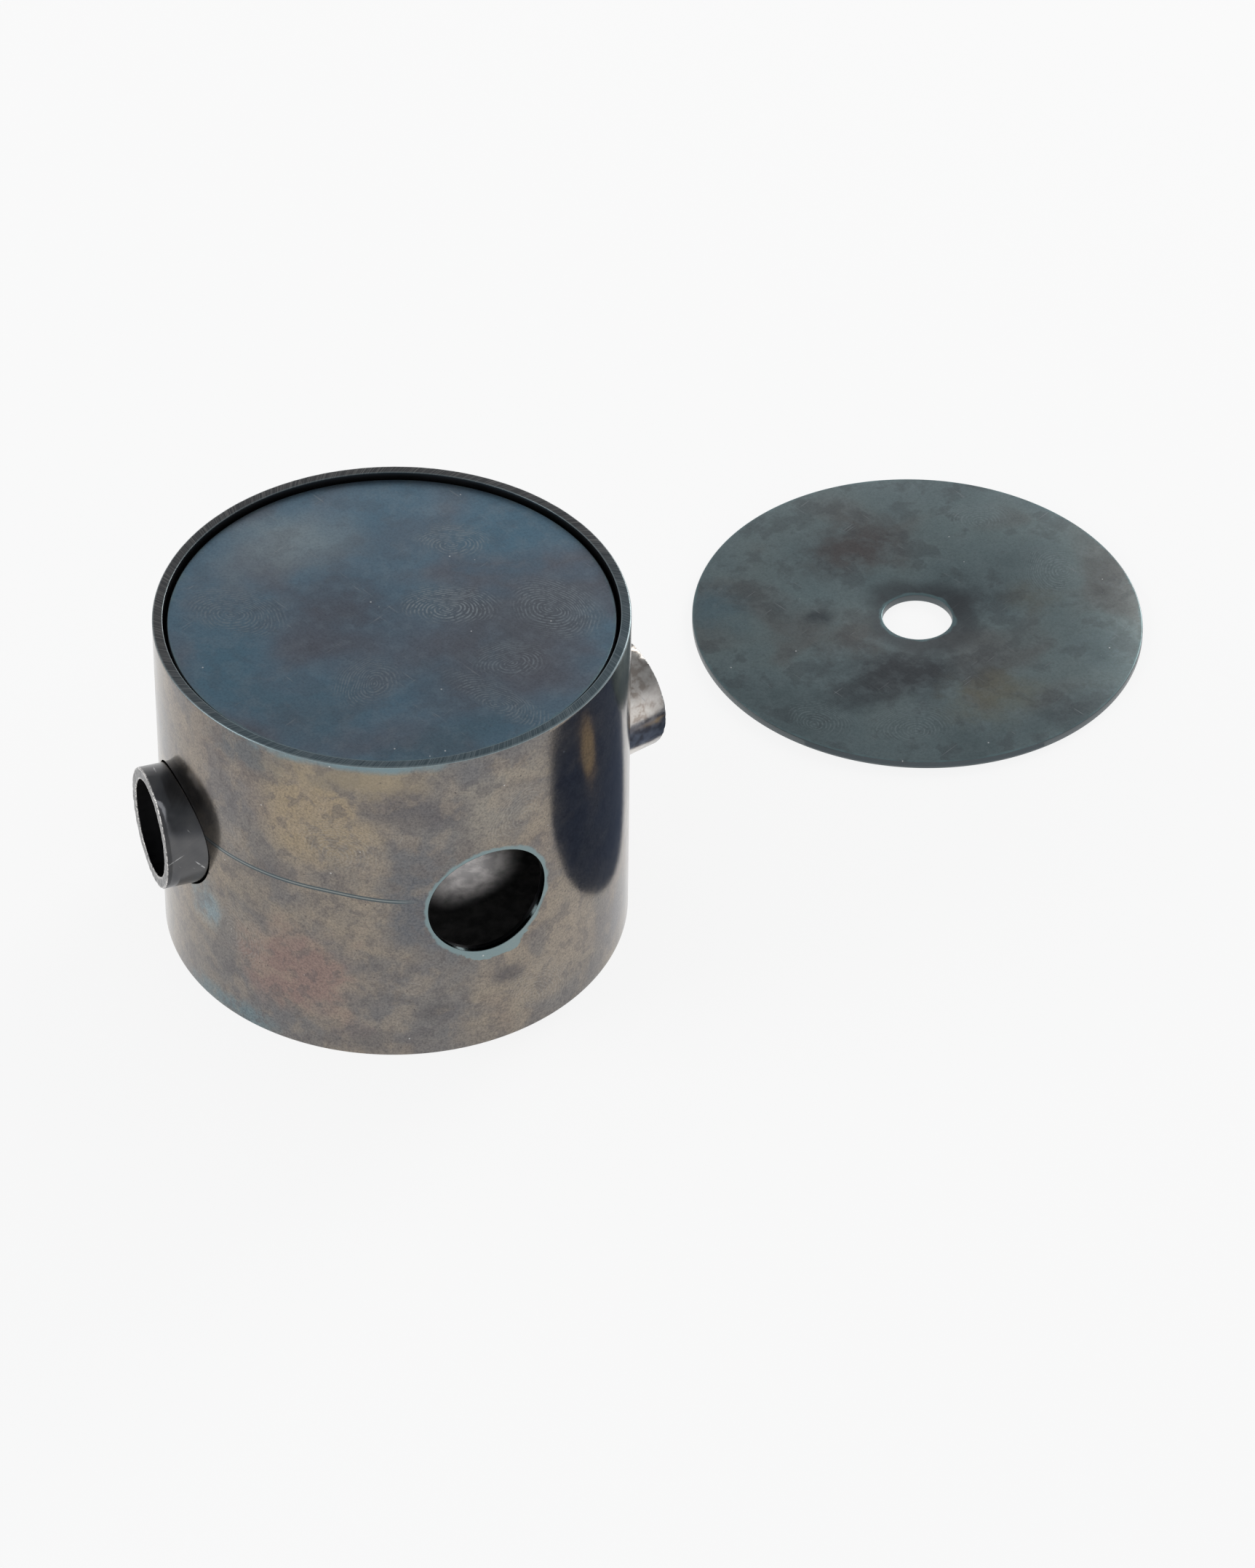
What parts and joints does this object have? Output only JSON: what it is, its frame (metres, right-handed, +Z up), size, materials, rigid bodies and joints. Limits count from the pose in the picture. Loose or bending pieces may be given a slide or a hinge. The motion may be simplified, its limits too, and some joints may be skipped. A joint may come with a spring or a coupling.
{
  "type": "coal forge",
  "caption": "Small round steel drum forge with side air stubs, a front opening, a loose plate seated inside the rim and a separate vent plate lying beside it.",
  "frame": {"origin": "centre of the drum's underside, on the surface it stands on", "axes": "+Z up along the drum's axis; -Y out through the front hole; the air stubs' holes are at -X and +X"},
  "size_m": [0.1932, 0.106, 0.0605],
  "materials": {
    "drum_steel": "satin",
    "floor_steel": "matte",
    "top_plate_steel": "satin",
    "vent_plate_steel": "satin",
    "tube_steel": "satin",
    "lug_steel": "satin",
    "weld_steel": "satin"
  },
  "bodies": {
    "drum": {"drum_shell": "drum_steel", "floor_plate": "floor_steel", "air_tube_left": "tube_steel", "air_tube_right": "tube_steel", "seat_lug_1": "lug_steel", "seat_lug_2": "lug_steel", "seat_lug_3": "lug_steel", "floor_weld_1": "weld_steel", "floor_weld_2": "weld_steel", "floor_weld_3": "weld_steel", "floor_weld_4": "weld_steel", "lug_weld_1": "weld_steel", "lug_weld_2": "weld_steel", "lug_weld_3": "weld_steel", "tube_weld_left_1": "weld_steel", "tube_weld_left_2": "weld_steel", "tube_weld_left_3": "weld_steel", "tube_weld_right_1": "weld_steel", "tube_weld_right_2": "weld_steel", "tube_weld_right_3": "weld_steel"},
    "top_plate": {"top_plate": "top_plate_steel"},
    "vent_plate": {"vent_plate": "vent_plate_steel"}
  },
  "joints": [
    {"name": "top_plate_lift", "type": "slide", "parent": "drum", "child": "top_plate", "axis": [0, 0, 1], "range_m": [0, 0.03]},
    {"name": "vent_plate_lift", "type": "slide", "parent": "drum", "child": "vent_plate", "axis": [0, 0, 1], "range_m": [0, 0.065]}
  ]
}
